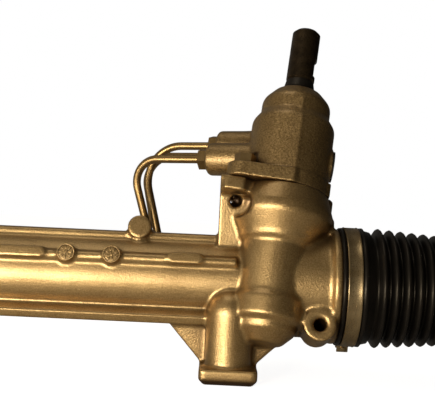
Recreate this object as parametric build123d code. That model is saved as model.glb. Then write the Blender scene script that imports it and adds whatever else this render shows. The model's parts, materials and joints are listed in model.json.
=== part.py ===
from build123d import *
import os
from math import acos, atan, cos, degrees, pi, radians, sin, sqrt, tan

# A hydraulic power steering rack, in millimetres.
# Frame: the origin is the centre of the right foot's bolt hole on its mounting face.
# +X runs along the rack, +Y to the back of the housing, +Z up.

# ---- Where the main axes run ----
RACK_BACK = 25.0            # rack axis, behind the foot bolt
RACK_HEIGHT = 65.0          # rack axis, above the mounting face
LEAN_BACK = 18.0            # pinion axis leans to the back, degrees
LEAN_SIDE = 6.4             # pinion axis leans to the right, degrees
PINION_X = 27.7             # where the pinion crosses the rack
RACK_TRAVEL = 70.0          # rack travel each way from the middle
STOP_GAP = 2.0              # between the ball joint and the housing at full travel

# ---- Fits ----
RUNNING = 0.1               # radial clearance of a running fit
SEAL_FIT = 0.05             # radial clearance of a seal lip on a shaft

# ---- Rack housing ----
HOUSING_RIGHT = 88.0
HOUSING_LEFT = -363.0
TUBE_R = 27.5
CYLINDER_R = 20.0
RACK_BORE_R = 14.2
TOP_RIB_HALF = 8.0
TOP_RIB_R = 32.0
FRONT_RIB_HALF = 3.75
FRONT_RIB_R = 31.4
FRONT_RIB_ANGLE = 32.0      # above the horizontal, degrees
LOWER_RIB_DROP = 28.0       # underside of the lower rib, below the rack axis
LOWER_RIB_END = -14.0
RIB_END = 3.0               # where the ribs run into the barrel
TAB_X = -10.5               # left edge of the lifting tab
TAB_TOP = 138.0
TAB_FRONT = 12.0
TAB_THICK = 12.0
TAB_HOLE_R = 4.1
TAB_ROUND_R = 11.0
TAB_HOLE_X = 0.6
TAB_HOLE_Z = 121.4
TAB_LOW = RACK_HEIGHT + 20
EAR_BLOCK = 10.0            # height of the blocks under the flange's ears
EAR_BLOCK_WIDTH = 15.0
EAR_BLOCK_SHIFT = 4.5       # the front block stands this far to the left of its bolt
TAB_HEAD_FRONT = 4.0        # the block at the tab's top, under the flange's front ear
TAB_HEAD_LOW = 127.5

BLEED_X = -65.0             # bleed boss on top of the tube
BLEED_R = 8.3
BLEED_LENGTH = 15.0

# ---- Feet ----
FOOT_HALF = 19.5
FOOT_DEPTH_HALF = 19.0
FOOT_THICK = 10.5
FOOT_CORNER = 4.0
FOOT_CHAMFER = 3.5
FOOT_BOSS_R = 15.6
FOOT_BOSS_TOP = 46.0
FOOT_BOLT_R = 5.1           # tapping drill of an M12 thread
FOOT_BOLT_DEPTH = 28.0
LEFT_FOOT_X = -240.0
GUSSET_BACK = 12.4          # middle of the gussets, behind the foot bolt
GUSSET_HALF = 5.5
GUSSET_SPREAD = 45.0        # where a gusset meets the tube, from the foot bolt
GUSSET_LOW_X = 9.0          # the thick wedge under the barrel
GUSSET_HIGH_X = 42.0
GUSSET_WEDGE_BACK = 9.5
GUSSET_WEDGE_HALF = 7.0

# ---- Front lug ----
LUG_X = 59.3
LUG_HEIGHT = 43.0
LUG_FRONT = -14.0           # Y of the lug's face
LUG_LENGTH = 29.0
LUG_R = 11.0
LUG_HOLE_R = 4.25
LUG_SINK_R = 6.0

# ---- Pinion barrel, heights along the pinion axis from the crossing point ----
COLLAR_X = 68.5             # left face of the collar behind the bellows' cuff
BARREL_BOTTOM = -46.0
BARREL_LOW_R = 21.0
BARREL_RING_R = 25.0
BARREL_MID_R = 24.0
BELL_R = 36.0
BELL_TOP_R = 31.0           # at the joint face
BELL_WEB_RIGHT = COLLAR_X + 0.8
BELL_WEB_HALF = 9.0
BELL_WEB_TOP = 111.0
BELL_TAPER = 14.0           # height over which the bell narrows to its top
JOINT_HEIGHT = 60.0         # face between rack housing and valve housing
BARREL_WAIST = 24.0         # where the bell starts
GEAR_CHAMBER_R = 13.0
LOW_BEARING_R = 12.0
LOW_BEARING_BORE_R = 6.0
LOW_BEARING_BOTTOM = -31.0
LOW_BEARING_TOP = -20.0
HIGH_BEARING_R = 21.0
HIGH_BEARING_BORE_R = 10.0
HIGH_BEARING_BOTTOM = 34.0
HIGH_BEARING_TOP = 46.0
SPIGOT_R = 24.0
SPIGOT_GAP = 0.5            # between the spigot and the bearing that it holds down
SPIGOT_LENGTH = JOINT_HEIGHT - HIGH_BEARING_TOP - SPIGOT_GAP
NECK_R = 36.5
COLLAR_R = 40.0
COLLAR_WIDTH = 4.5
BELLOWS_SEAT_R = 38.0

# ---- Valve housing ----
FLANGE_THICK = 10.0
FLANGE_FACE = 31.0          # from the pinion axis to the straight faces
EAR_R = 11.5
EARS = ((-30.4, -19.5), (26.0, 31.0), (-26.0, 31.0))   # bolt centres, local X and Y
VALVE_BODY_R = 29.6
VALVE_SHOULDER = 111.0
VALVE_CAP_R = 24.7
VALVE_CAP_START = 118.5
VALVE_TOP = 139.0
VALVE_BORE_R = 19.5
VALVE_BORE_TOP = 110.0
RIDGE_ANGLE = 7.0           # die parting ridge, to the right of the front, degrees
RIDGE_FOOT = 32.5           # flange corner under the ridge, from the pinion axis
RIDGE_RISE = 1.035          # ridge crest, as a share of the wall's radius
PORT_SWING = 22.0           # pipe ports point left and this far to the back, degrees
PORT_R = 11.8
PORT_ROOT_R = 15.5          # where a port boss meets the tower
PORT_HOLE_R = 5.0
FRONT_PORT = (83.2, -9.0, 61.0)     # height, offset to the back, length from the axis
UPPER_PORT = (101.2, 10.0, 55.5)
REAR_PORT = (100.3, 30.0, 54.0)
REAR_PORT_R = 10.0
HOSE_PORT_R = 12.0          # supply port on the right, closed by a plug in transit
HOSE_PORT_HEIGHT = 86.0

# ---- Bolts ----
BOLT_R = 4.0
BOLT_HEAD_R = 7.5
BOLT_HEAD = 7.5
BOLT_GRIP = 9.5            # thread length below the joint face

# ---- Rack ----
RACK_R = 13.0
SOCKET_GAP = RACK_TRAVEL + STOP_GAP
TEETH = 8                   # on the pinion
HELIX = 24.0                # pinion helix angle, degrees
PITCH_R = 8.3
PINION_END = LOW_BEARING_BOTTOM - 2.5
PINION_END_GAP = 1.5
PINION_TIP_R = 10.3
PINION_ROOT_R = 7.05
PRESSURE_ANGLE = 22.0       # in the pinion's own cross-section, degrees
PINION_TOOTH = 3.6          # tooth thickness on the pitch circle
BACKLASH = 0.16
AXIS_GAP = 17.5             # shortest distance from rack axis to pinion axis
RACK_ADDENDUM = 1.0
RACK_DEDENDUM = 2.25
GEAR_HALF = 16.0            # half the pinion's toothed length
PISTON_WIDTH = 14.0
PISTON_SEAL_WIDTH = 4.0
RETAINER_WIDTH = 2.0
INNER_SEAL_X = -150.0
INNER_PORT_ROOM = 16.0      # left open at the cylinder's inner end for the port
PISTON_X = INNER_SEAL_X - INNER_PORT_ROOM - RACK_TRAVEL - RETAINER_WIDTH - PISTON_WIDTH / 2
INNER_SEAL_WIDTH = 10.0
INNER_SEAL_R = 18.0
END_BUSH_LENGTH = 24.0
END_SEAL_WIDTH = 8.0
END_SEAL_R = 17.0
SUPPORT_X = 60.0            # plastic rack support on the right
SUPPORT_WIDTH = 16.0
SUPPORT_R = 16.5

# ---- Yoke, distances from the rack axis away from the pinion ----
YOKE_R = 17.4
YOKE_CLEARANCE = 0.1
YOKE_END = 29.0
YOKE_LINER = 1.0
LINER_HALF = 9.0
YOKE_BOSS_R = 24.0
YOKE_BOSS_END = 44.0
SPRING_POCKET_R = 9.0
SPRING_POCKET = 12.0
SPRING_WIRE_R = 1.2
SPRING_TURNS = 4.0
PLUG_LENGTH = 17.0
PLUG_GAP = 0.3
LOCK_NUT_R = 22.0
LOCK_NUT_THICK = 5.0

# ---- Valve and input shaft ----
SLEEVE_R = 19.4
SLEEVE_BORE_R = 11.5
SLEEVE_BOTTOM = 58.0
SLEEVE_TOP = 106.0
SLEEVE_RING_GAP = 9.0
PINION_HEAD_R = 11.4
PINION_HEAD_TOP = 64.0
SPOOL_BOTTOM = 65.0
JOURNAL_R = 9.2
SPLINE_R = 10.3
SPLINE_START = 148.0
SHAFT_TOP = 188.5
SHAFT_FLAT = 8.6            # from the axis
SHAFT_FLAT_LENGTH = 14.0
TORSION_BAR_R = 2.6
TORSION_HEAD_R = 4.0
TORSION_BORE_R = 4.4
TORSION_BOTTOM = 36.0
TORSION_TOP = 176.0
CROSS_PIN_R = 1.5
SHAFT_BEARING_BOTTOM = 111.0
SHAFT_BEARING_TOP = 123.0
SHAFT_BEARING_R = 14.0
SHAFT_SEAL_BOTTOM = 129.0
SHAFT_SEAL_R = 14.5
DUST_SEAL_R = 11.4
DUST_SEAL_TOP = 147.0

# ---- Tie rod joints, distances outward from the ball centre ----
WASHER_THICK = 2.0
WASHER_R = 17.0
SOCKET_BACK = 22.0          # from the washer to the ball centre
SOCKET_R = 20.5
SOCKET_FRONT = 12.0
SOCKET_STUD_R = 7.0
SOCKET_STUD = 18.0
CUP_R = 16.0
BALL_R = 14.0
CUP_OPENING = 58.0          # half-angle of the cup's mouth, degrees
ROD_R = 7.5
ROD_LENGTH = 255.0
ROD_THREAD_R = 6.9
ROD_THREAD = 55.0
NUT_THICK = 9.0
ROD_RUN_OUT_R = 6.6         # between shank and thread, where the lock nut is kept
ROD_RUN_OUT = 10.0

# ---- Bellows, distances outward from the end of the housing ----
BELLOWS_START = -14.8
BELLOWS_WALL = 2.2
CUFF_R = 40.4
CUFF_LENGTH = 14.0
FOLD_R = 41.8
FOLD_END_R = 27.0
FOLDS_END = 178.0
SMALL_CUFF_R = 11.5
SMALL_CUFF = 16.0
CLAMP_WIDTH = 9.8
CLAMP_START = -11.5
CLAMP_THICK = 1.3
CLAMP_SCREW_R = 3.0
SMALL_CLAMP_THICK = 1.2
SMALL_CLAMP_WIDTH = 6.0

# ---- Pipes ----
PIPE_R = 3.0
PIPE_BACK = 57.0            # the pipes' runs, behind the rack axis
PIPE_TURNS = (126.0, 123.0, 122.0)      # first corners, from the pinion axis
PIPE_DROPS = (-57.0, -48.0, -58.0)      # X of the lower corners
RETURN_BACK = 12.0          # the return pipe, behind the other two
RETURN_Z = 88.0
RETURN_END = -130.0
PIPE_BEND = 19.0
UPPER_PIPE_BEND = 27.0      # the long pipe's first bend
NUT_R = 8.0                 # across the corners
NUT_LENGTH = 7.0
CYLINDER_PORT_R = 9.5
CYLINDER_PORT_OUT = 31.5    # from the rack axis to the port's face
INNER_PORT_X = -162.0
OUTER_PORT_X = HOUSING_LEFT + RETAINER_WIDTH + END_BUSH_LENGTH + 10.0
INNER_PORT_UP = 7.0
OUTER_PORT_UP = -5.0

os.makedirs("parts", exist_ok=True)


# ---- Frames ----
lean = radians(LEAN_BACK)
side = radians(LEAN_SIDE)
FRONT = Vector(0, -cos(lean), sin(lean))        # square to rack and pinion, to the front
PINION_AXIS = Vector(sin(side), cos(side) * sin(lean), cos(side) * cos(lean))
PINION_SIDE = PINION_AXIS.cross(FRONT)
CROSSING = Vector(PINION_X, RACK_BACK, RACK_HEIGHT)
PINION_CENTRE = CROSSING + FRONT * AXIS_GAP
# pinion frame: z up the pinion axis, -y to the front
PINION = Plane(origin=PINION_CENTRE, x_dir=PINION_SIDE, z_dir=PINION_AXIS)
YOKE_FRAME = Plane(origin=CROSSING, x_dir=(1, 0, 0), z_dir=FRONT * -1)


def rack_frame(x, outward=1):
    """A frame on the rack axis at x, with its z pointing right (1) or left (-1)."""
    return Plane(origin=(x, RACK_BACK, RACK_HEIGHT), x_dir=(0, 1, 0), z_dir=(outward, 0, 0))


def front_frame(x, y, z):
    """A frame whose z points the way the casting die pulls: to the front and up."""
    return Plane(origin=(x, y, z), x_dir=(1, 0, 0), z_dir=FRONT)


def place(frame, shape):
    """Move a shape made round the origin into a frame."""
    return frame.location * shape


def turned(*outline):
    """Turn an outline of (radius, height) or (radius, height, corner radius) about z."""
    points = [(corner[0], 0, corner[1]) for corner in outline]
    corners = [corner[2] if len(corner) > 2 else 0 for corner in outline]
    path = FilletPolyline(*points, radius=corners, close=True)
    return revolve(make_face(path), Axis.Z)


def rod(radius, bottom, top):
    """A plain round bar between two heights."""
    bar = Cylinder(radius, top - bottom, align=(Align.CENTER, Align.CENTER, Align.MIN))
    return Pos(0, 0, bottom) * bar


def ring(outer, inner, bottom, top):
    """A plain ring between two heights."""
    return rod(outer, bottom, top) - rod(inner, bottom - 1, top + 1)


def hex_bar(corner_radius, bottom, top):
    """A hexagonal bar between two heights."""
    return Pos(0, 0, bottom) * extrude(RegularPolygon(corner_radius, 6), top - bottom)


def write(name, shape):
    """Write one named piece."""
    export_step(shape, f"parts/{name}.step")


# ---- Rack housing ----
def tube_section():
    """The tube with its top rib, the rounded front rib and the lower rib."""
    reach = FRONT_RIB_R - FRONT_RIB_HALF
    top_rib = Pos(0, TOP_RIB_R / 2) * RectangleRounded(2 * TOP_RIB_HALF, TOP_RIB_R, 3.0)
    front_rib = Rot(0, 0, 180 - FRONT_RIB_ANGLE) * Pos(reach / 2, 0) * SlotCenterToCenter(
        reach, 2 * FRONT_RIB_HALF)
    return Circle(TUBE_R) + top_rib + front_rib


def lower_rib_section():
    """A ledge along the tube's front lower side, with a sloping top."""
    drop = LOWER_RIB_DROP
    outline = Polyline((0, -drop), (-26.5, -drop), (-28.5, -drop + 5.5), (-21, -drop + 11), (0, 0),
                       close=True)
    return make_face(outline)


def feet():
    """Two flanged feet with round bosses and gussets to the tube."""
    solid = None
    for x in (0, LEFT_FOOT_X):
        plate = extrude(RectangleRounded(2 * FOOT_HALF, 2 * FOOT_DEPTH_HALF, FOOT_CORNER), FOOT_THICK)
        plate = chamfer(plate.edges().group_by(Axis.Z)[0], FOOT_CHAMFER)
        boss = rod(FOOT_BOSS_R, FOOT_THICK, FOOT_BOSS_TOP) + Pos(0, 0, FOOT_BOSS_TOP) * Sphere(FOOT_BOSS_R)
        web = make_face(Polyline((-FOOT_HALF + 2, FOOT_THICK - 1), (FOOT_HALF - 2, FOOT_THICK - 1),
                                 (GUSSET_SPREAD, RACK_HEIGHT - TUBE_R + 3),
                                 (-GUSSET_SPREAD, RACK_HEIGHT - TUBE_R + 3), close=True))
        gusset = Pos(0, GUSSET_BACK, 0) * extrude(Plane.XZ * web, GUSSET_HALF, both=True)
        foot = Pos(x, 0, 0) * (plate + boss + gusset)
        solid = foot if solid is None else solid + foot
    return solid + barrel_gusset()


def barrel_gusset():
    """The thick wedge from the right foot up to the underside of the barrel."""
    outline = Polyline((GUSSET_LOW_X, FOOT_THICK - 1), (FOOT_HALF - 3, FOOT_THICK - 1),
                       (GUSSET_HIGH_X, RACK_HEIGHT - TUBE_R - 4), (GUSSET_HIGH_X, RACK_HEIGHT - 12),
                       (GUSSET_LOW_X, RACK_HEIGHT - 12), close=True)
    wedge = extrude(Plane.XZ * make_face(outline), GUSSET_WEDGE_HALF, both=True)
    return Pos(0, GUSSET_WEDGE_BACK, 0) * wedge


def barrel():
    """The pinion barrel: round foot, ring, waist and the bell up to the joint face."""
    top = JOINT_HEIGHT
    bottom = BARREL_BOTTOM
    return turned(
        (0, bottom), (BARREL_LOW_R - 9, bottom, 5), (BARREL_LOW_R, bottom + 9, 6), (BARREL_LOW_R, -33, 2),
        (BARREL_RING_R, -30, 3), (BARREL_RING_R, -17, 3), (BARREL_MID_R - 1.5, -13, 2),
        (BARREL_MID_R, BARREL_WAIST - 3, 3), (BARREL_MID_R + 3, BARREL_WAIST, 2),
        (BARREL_MID_R + 4, BARREL_WAIST + 3, 2), (BELL_R, BARREL_WAIST + 16, 9), (BELL_R, top - BELL_TAPER, 8),
        (BELL_TOP_R, top), (0, top))


def tab_and_ear_blocks():
    """The lifting tab to the left of the bell and the blocks that the flange bolts screw into."""
    outline = Pos((TAB_X + TAB_HOLE_X) / 2, (TAB_LOW + TAB_TOP) / 2) * Rectangle(
        TAB_HOLE_X - TAB_X, TAB_TOP - TAB_LOW)
    outline = outline + Pos(TAB_HOLE_X, TAB_HOLE_Z) * Circle(TAB_ROUND_R)
    outline = outline + Pos((TAB_X + PINION_X) / 2, (TAB_LOW + TAB_HOLE_Z - 8) / 2) * Rectangle(
        PINION_X - TAB_X, TAB_HOLE_Z - 8 - TAB_LOW)
    frame = Plane(origin=(0, TAB_FRONT + TAB_THICK, 0), x_dir=(1, 0, 0), z_dir=(0, -1, 0))
    solid = place(frame, extrude(outline, TAB_THICK))
    head = Box(EAR_BLOCK_WIDTH, TAB_THICK + TAB_FRONT - TAB_HEAD_FRONT, TAB_TOP - TAB_HEAD_LOW + 6,
               align=(Align.MIN, Align.MIN, Align.MIN))
    solid = solid + Pos(TAB_X, TAB_HEAD_FRONT, TAB_HEAD_LOW) * head
    solid = solid - place(PINION, rod(2 * BELL_R, JOINT_HEIGHT, 2 * JOINT_HEIGHT))
    low = JOINT_HEIGHT - EAR_BLOCK
    for x, y in EARS:
        shift = EAR_BLOCK_SHIFT if y < 0 else 0
        block = Pos(x - shift, y, low) * extrude(RectangleRounded(EAR_BLOCK_WIDTH, EAR_BLOCK_WIDTH, 2), EAR_BLOCK)
        arm = Pos(x / 2, y / 2, low) * Rot(0, 0, degrees_of(x, y)) * extrude(
            Rectangle(sqrt(x * x + y * y), EAR_BLOCK_WIDTH - 2), EAR_BLOCK)
        solid = solid + place(PINION, block + arm)
    return solid


def bell_web():
    """The web that carries the bell's right side down on to the collar."""
    web = Box(BELL_WEB_RIGHT - PINION_X, 2 * BELL_WEB_HALF, BELL_WEB_TOP - RACK_HEIGHT,
              align=(Align.MIN, Align.CENTER, Align.MIN))
    return Pos(PINION_X, RACK_BACK - 1, RACK_HEIGHT) * web


def tab_relief():
    """The room in front of the tab's hole, cut back into the bell for a bolt's head."""
    frame = Plane(origin=(0, TAB_FRONT, 0), x_dir=(1, 0, 0), z_dir=(0, -1, 0))
    outline = Pos(TAB_HOLE_X, TAB_HOLE_Z) * Circle(TAB_ROUND_R)
    outline = outline + Pos(TAB_X, TAB_HOLE_Z) * Rectangle(2 * (TAB_HOLE_X - TAB_X), 2 * TAB_ROUND_R)
    return place(frame, extrude(outline, 2 * BELL_R))


def degrees_of(x, y):
    """The direction of a point seen from the origin, in degrees."""
    return degrees(atan(y / x))


def front_stamps():
    """The plain round die marks and bare pads along the front rib, and the bleed boss on top."""
    angle = radians(FRONT_RIB_ANGLE)
    crest_y = RACK_BACK - FRONT_RIB_R * cos(angle)
    crest_z = RACK_HEIGHT + FRONT_RIB_R * sin(angle)
    frame = front_frame(BLEED_X, RACK_BACK + 5, RACK_HEIGHT + TUBE_R + 4)
    solid = place(frame, turned((0, 0), (BLEED_R, 0), (BLEED_R, BLEED_LENGTH, 0.8), (0, BLEED_LENGTH)))
    post = Pos(BLEED_X, RACK_BACK + 2, RACK_HEIGHT) * rod(BLEED_R - 1, 0, TUBE_R + 6)
    solid = solid + post
    for x in (-112.0, -81.4):
        solid = solid + place(front_frame(x, crest_y, crest_z), rod(6.1, -8, 2.0))
    for left, right in ((-182.0, -126.0), (-44.3, -19.8)):
        pad = extrude(SlotOverall(right - left, 7.5), 9.0)
        solid = solid + place(front_frame((left + right) / 2, crest_y, crest_z), Pos(0, 0, -8) * pad)
    return solid


def cylinder_ports():
    """Bosses on the back of the tube for the two pipes that feed the cylinder."""
    solid = None
    for x, up in ((INNER_PORT_X, INNER_PORT_UP), (OUTER_PORT_X, OUTER_PORT_UP)):
        boss = rod(CYLINDER_PORT_R, CYLINDER_R + 2, CYLINDER_PORT_OUT)
        frame = Plane(origin=(x, RACK_BACK, RACK_HEIGHT + up), x_dir=(1, 0, 0), z_dir=(0, 1, 0))
        solid = place(frame, boss) if solid is None else solid + place(frame, boss)
    return solid


def housing_bores():
    """Everything that is machined out of the rack housing."""
    width = HOUSING_RIGHT - HOUSING_LEFT
    cut = place(rack_frame(HOUSING_LEFT - 1), rod(CYLINDER_R, 0, INNER_SEAL_X - HOUSING_LEFT + 1))
    cut = cut + place(rack_frame(INNER_SEAL_X - 1), rod(INNER_SEAL_R, 0, INNER_SEAL_WIDTH + 1))
    cut = cut + place(rack_frame(HOUSING_LEFT), rod(RACK_BORE_R, 10, width + 1))
    cut = cut + place(rack_frame(SUPPORT_X), rod(SUPPORT_R, 0, HOUSING_RIGHT - SUPPORT_X + 1))
    chamber = rod(GEAR_CHAMBER_R, LOW_BEARING_TOP, HIGH_BEARING_BOTTOM)
    chamber = chamber + rod(LOW_BEARING_R, LOW_BEARING_BOTTOM, LOW_BEARING_TOP)
    chamber = chamber + rod(LOW_BEARING_BORE_R + 2, PINION_END - PINION_END_GAP, LOW_BEARING_BOTTOM)
    chamber = chamber + rod(HIGH_BEARING_R, HIGH_BEARING_BOTTOM, HIGH_BEARING_TOP)
    chamber = chamber + rod(SPIGOT_R, HIGH_BEARING_TOP, JOINT_HEIGHT + 1)
    for x, y in EARS:
        chamber = chamber + Pos(x, y, 0) * rod(BOLT_R, JOINT_HEIGHT - EAR_BLOCK, JOINT_HEIGHT + 1)
    cut = cut + place(PINION, chamber)
    cut = cut + place(YOKE_FRAME, rod(YOKE_R + YOKE_CLEARANCE, 2, YOKE_BOSS_END + 1))
    for x in (0, LEFT_FOOT_X):
        cut = cut + Pos(x, 0, 0) * rod(FOOT_BOLT_R, -1, FOOT_BOLT_DEPTH)
    lug = rod(LUG_HOLE_R, -LUG_LENGTH - 1, 1) + Pos(0, 0, -1.7) * Cone(
        LUG_HOLE_R, LUG_SINK_R + 0.1, 1.8, align=(Align.CENTER, Align.CENTER, Align.MIN))
    cut = cut + place(front_frame(LUG_X, LUG_FRONT, LUG_HEIGHT), lug)
    hole = Plane(origin=(TAB_HOLE_X, TAB_FRONT - 1, TAB_HOLE_Z), x_dir=(1, 0, 0), z_dir=(0, 1, 0))
    cut = cut + place(hole, rod(TAB_HOLE_R, 0, TAB_THICK + 2))
    for x, up in ((INNER_PORT_X, INNER_PORT_UP), (OUTER_PORT_X, OUTER_PORT_UP)):
        frame = Plane(origin=(x, RACK_BACK, RACK_HEIGHT + up), x_dir=(1, 0, 0), z_dir=(0, 1, 0))
        cut = cut + place(frame, rod(PIPE_R - 0.6, 10, CYLINDER_PORT_OUT + 1))
    return cut


def rack_housing():
    """The aluminium casting that carries everything else."""
    left = HOUSING_LEFT + HOUSING_RIGHT - COLLAR_X
    body = place(rack_frame(left), extrude(tube_section(), RIB_END - left))
    body = body + place(rack_frame(left), extrude(lower_rib_section(), LOWER_RIB_END - left))
    body = body + place(rack_frame(TAB_X), rod(TUBE_R, 0, COLLAR_X - TAB_X))
    body = body + place(rack_frame(PINION_X), rod(NECK_R, 0, COLLAR_X - PINION_X))
    for x, outward in ((COLLAR_X, 1), (HOUSING_LEFT + HOUSING_RIGHT - COLLAR_X, -1)):
        collar = turned((0, -6), (NECK_R, -6), (NECK_R, -2, 2), (COLLAR_R, 0, 1), (COLLAR_R, COLLAR_WIDTH, 1),
                        (BELLOWS_SEAT_R, COLLAR_WIDTH), (BELLOWS_SEAT_R, HOUSING_RIGHT - COLLAR_X, 1),
                        (0, HOUSING_RIGHT - COLLAR_X))
        body = body + place(rack_frame(x, outward), collar)
    body = body + (place(PINION, barrel()) - tab_relief())
    body = body + bell_web() + tab_and_ear_blocks()
    body = body + feet()
    lug = rod(LUG_R, -LUG_LENGTH, 0)
    body = body + place(front_frame(LUG_X, LUG_FRONT, LUG_HEIGHT), lug)
    body = body + place(YOKE_FRAME, rod(YOKE_BOSS_R, 0, YOKE_BOSS_END))
    body = body + front_stamps() + cylinder_ports()
    return body - housing_bores()


# ---- Valve housing ----
def port_frame(port):
    """A frame on a pipe port's axis, with z pointing out of the port."""
    height, back, _ = port
    swing = radians(PORT_SWING)
    return Plane(origin=(0, back, height), x_dir=(0, 0, 1), z_dir=(-cos(swing), sin(swing), 0))


def flange_section():
    """The flange: two straight faces that meet at the parting ridge, and three ears."""
    ridge = (RIDGE_FOOT * sin(radians(RIDGE_ANGLE)), -RIDGE_FOOT * cos(radians(RIDGE_ANGLE)))
    left = EARS[0]
    outline = make_face(Polyline((left[0], left[1] - EAR_R), ridge, (FLANGE_FACE, -10), (FLANGE_FACE, 20),
                                 (-10, 30), (left[0] - 3, 8), close=True))
    section = outline + Circle(FLANGE_FACE - 0.6)
    for x, y in EARS:
        section = section + Pos(x, y) * Circle(EAR_R)
        section = section + Pos(x / 2, y / 2) * Rot(0, 0, degrees_of(x, y)) * Rectangle(
            sqrt(x * x + y * y), 2 * EAR_R)
    return section


def parting_ridge():
    """The low ridge that the casting dies leave down the front of the tower."""
    half = acos(1 / RIDGE_RISE)
    stations = ((JOINT_HEIGHT, VALVE_BODY_R), (VALVE_SHOULDER - 2.4, VALVE_BODY_R),
                (VALVE_CAP_START, VALVE_CAP_R), (VALVE_CAP_START + 6.6, VALVE_CAP_R))
    sections = []
    for height, radius in stations:
        triangle = Polyline((0, -radius * RIDGE_RISE), (radius * sin(half), -radius * cos(half)),
                            (0, -radius / 2), (-radius * sin(half), -radius * cos(half)), close=True)
        sections.append(Pos(0, 0, height) * make_face(triangle))
    return Rot(0, 0, RIDGE_ANGLE) * loft(sections, ruled=True)


def valve_housing():
    """The cast tower over the pinion, with the pipe ports on its left."""
    base = JOINT_HEIGHT
    flange = Pos(0, 0, base) * extrude(flange_section(), FLANGE_THICK)
    tower = turned(
        (0, base - SPIGOT_LENGTH), (SPIGOT_R - RUNNING, base - SPIGOT_LENGTH), (SPIGOT_R - RUNNING, base),
        (VALVE_BODY_R, base), (VALVE_BODY_R, VALVE_SHOULDER, 8), (VALVE_CAP_R, VALVE_CAP_START, 2),
        (VALVE_CAP_R, VALVE_CAP_START + 10, 9), (DUST_SEAL_R + 5, VALVE_TOP - 1, 6), (DUST_SEAL_R, VALVE_TOP),
        (0, VALVE_TOP))
    body = flange + tower + parting_ridge()
    for port, radius in ((FRONT_PORT, PORT_R), (UPPER_PORT, PORT_R - 0.5), (REAR_PORT, REAR_PORT_R)):
        length = port[2]
        boss = turned((0, 0), (PORT_ROOT_R - 3, 0), (radius, VALVE_BODY_R + 6), (radius, length, 2.5), (0, length))
        body = body + place(port_frame(port), boss)
    pad = Pos(0, 0, HOSE_PORT_HEIGHT) * Rot(0, 90, 0) * rod(HOSE_PORT_R, 0, VALVE_BODY_R + 0.6)
    body = body + pad
    bore = rod(VALVE_BORE_R, base - SPIGOT_LENGTH - 1, VALVE_BORE_TOP)
    bore = bore + rod(SHAFT_BEARING_R, VALVE_BORE_TOP - 1, SHAFT_BEARING_TOP)
    bore = bore + rod(SPLINE_R + 1.2, VALVE_BORE_TOP, VALVE_TOP + 1)
    bore = bore + rod(SHAFT_SEAL_R, SHAFT_SEAL_BOTTOM, VALVE_TOP - 3)
    for x, y in EARS:
        bore = bore + Pos(x, y, 0) * rod(BOLT_R + 0.5, base - 1, base + FLANGE_THICK + 1)
    for port in (FRONT_PORT, UPPER_PORT, REAR_PORT):
        bore = bore + place(port_frame(port), rod(PORT_HOLE_R, port[2] - 14, port[2] + 1))
        bore = bore + place(port_frame(port), rod(PIPE_R - 0.6, 10, port[2]))
    hose = Pos(0, 0, HOSE_PORT_HEIGHT) * Rot(0, 90, 0) * rod(PORT_HOLE_R + 2, 10, VALVE_BODY_R + 3)
    spot_faces = None
    for x, y in EARS:
        top = base + FLANGE_THICK
        face = Pos(x, y, 0) * rod(BOLT_HEAD_R + 0.6, top, top + 12)
        spot_faces = face if spot_faces is None else spot_faces + face
    return place(PINION, body - bore - hose - spot_faces)


def valve_housing_bolts():
    """Three hexagon bolts that hold the valve housing down."""
    top = JOINT_HEIGHT + FLANGE_THICK
    bolts = []
    for x, y in EARS:
        head = hex_bar(BOLT_HEAD_R, top, top + BOLT_HEAD)
        bolt = head + rod(BOLT_R - 0.02, JOINT_HEIGHT - BOLT_GRIP, top)
        bolts.append(place(PINION, Pos(x, y, 0) * bolt))
    return Compound(children=bolts)


def port_plug():
    """The transit plug in the supply port on the right."""
    plug = rod(PORT_HOLE_R + 1.95, VALVE_BODY_R - 8, VALVE_BODY_R + 0.6)
    plug = plug + rod(HOSE_PORT_R - 1, VALVE_BODY_R + 0.6, VALVE_BODY_R + 1.8)
    return place(PINION, Pos(0, 0, HOSE_PORT_HEIGHT) * Rot(0, 90, 0) * plug)


# ---- Bearings and seals on the pinion axis ----
def ball_bearing(outer, bore, bottom, top):
    """A bearing as its two races and the filled space between them, joined as one ring."""
    third = (outer - bore) / 3
    low = bottom + 0.8
    high = top - 0.8
    return turned((bore, bottom), (bore + third, bottom), (bore + third, low), (outer - third, low),
                  (outer - third, bottom), (outer, bottom), (outer, top), (outer - third, top),
                  (outer - third, high), (bore + third, high), (bore + third, top), (bore, top))


# ---- Pinion and rack teeth ----
def involute_point(radius, start_angle, tooth_side):
    """A point of an involute flank at a radius, turned to where the flank starts."""
    base = PITCH_R * cos(radians(PRESSURE_ANGLE))
    roll = acos(min(1.0, base / radius))
    angle = start_angle - tooth_side * (tan(roll) - roll)
    return (radius * cos(angle), radius * sin(angle))


def pinion_section():
    """The pinion's cross-section: involute flanks, flat tips and round gaps."""
    base = PITCH_R * cos(radians(PRESSURE_ANGLE))
    pressure = radians(PRESSURE_ANGLE)
    half = PINION_TOOTH / (2 * PITCH_R) + tan(pressure) - pressure
    points = []
    for tooth in range(TEETH):
        # the first tooth points away from the front, to the rack
        middle = pi / 2 + 2 * pi * tooth / TEETH
        steps = [base + (PINION_TIP_R - base) * k / 4 for k in range(5)]
        points.append((PINION_ROOT_R * cos(middle - half), PINION_ROOT_R * sin(middle - half)))
        points += [involute_point(r, middle - half, -1) for r in steps]
        points += [involute_point(r, middle + half, 1) for r in reversed(steps)]
        points.append((PINION_ROOT_R * cos(middle + half), PINION_ROOT_R * sin(middle + half)))
    return make_face(Polyline(*points, close=True))


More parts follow.
